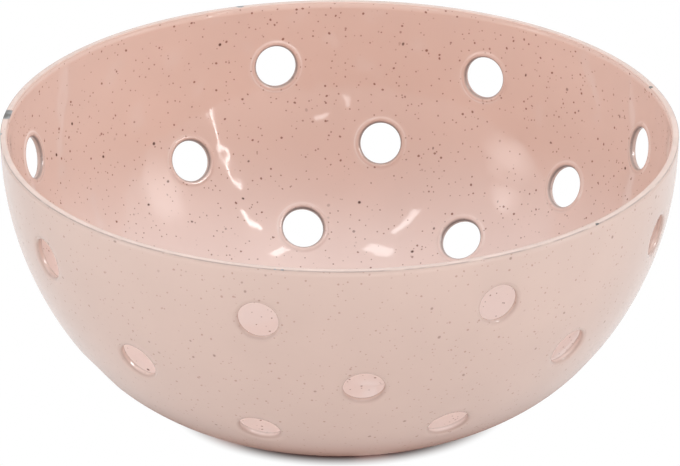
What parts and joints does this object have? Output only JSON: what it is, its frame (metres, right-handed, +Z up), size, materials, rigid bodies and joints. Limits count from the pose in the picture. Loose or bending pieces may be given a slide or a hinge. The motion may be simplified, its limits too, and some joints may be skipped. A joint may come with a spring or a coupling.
{
  "type": "berry colander bowl",
  "caption": "Round enamelled berry colander bowl with rows of drain holes in its wall and floor and a flat foot.",
  "frame": {"origin": "on the ground at the centre of the flat foot", "axes": "+Z up along the bowl's axis, -Y towards the front as pictured, +X to the right"},
  "size_m": [0.18, 0.18, 0.077],
  "materials": {
    "bare_steel": "satin",
    "inner_enamel": "gloss",
    "outer_enamel": "gloss",
    "rim_enamel": "gloss"
  },
  "bodies": {
    "root": {"steel_shell": "bare_steel", "inner_enamel": "inner_enamel", "outer_enamel": "outer_enamel", "foot_enamel": "outer_enamel", "rim_enamel": "rim_enamel", "upper_hole_enamel": "inner_enamel", "middle_hole_enamel": "inner_enamel", "lower_hole_enamel": "inner_enamel", "floor_hole_enamel": "inner_enamel", "foot_hole_enamel": "inner_enamel"}
  },
  "joints": []
}
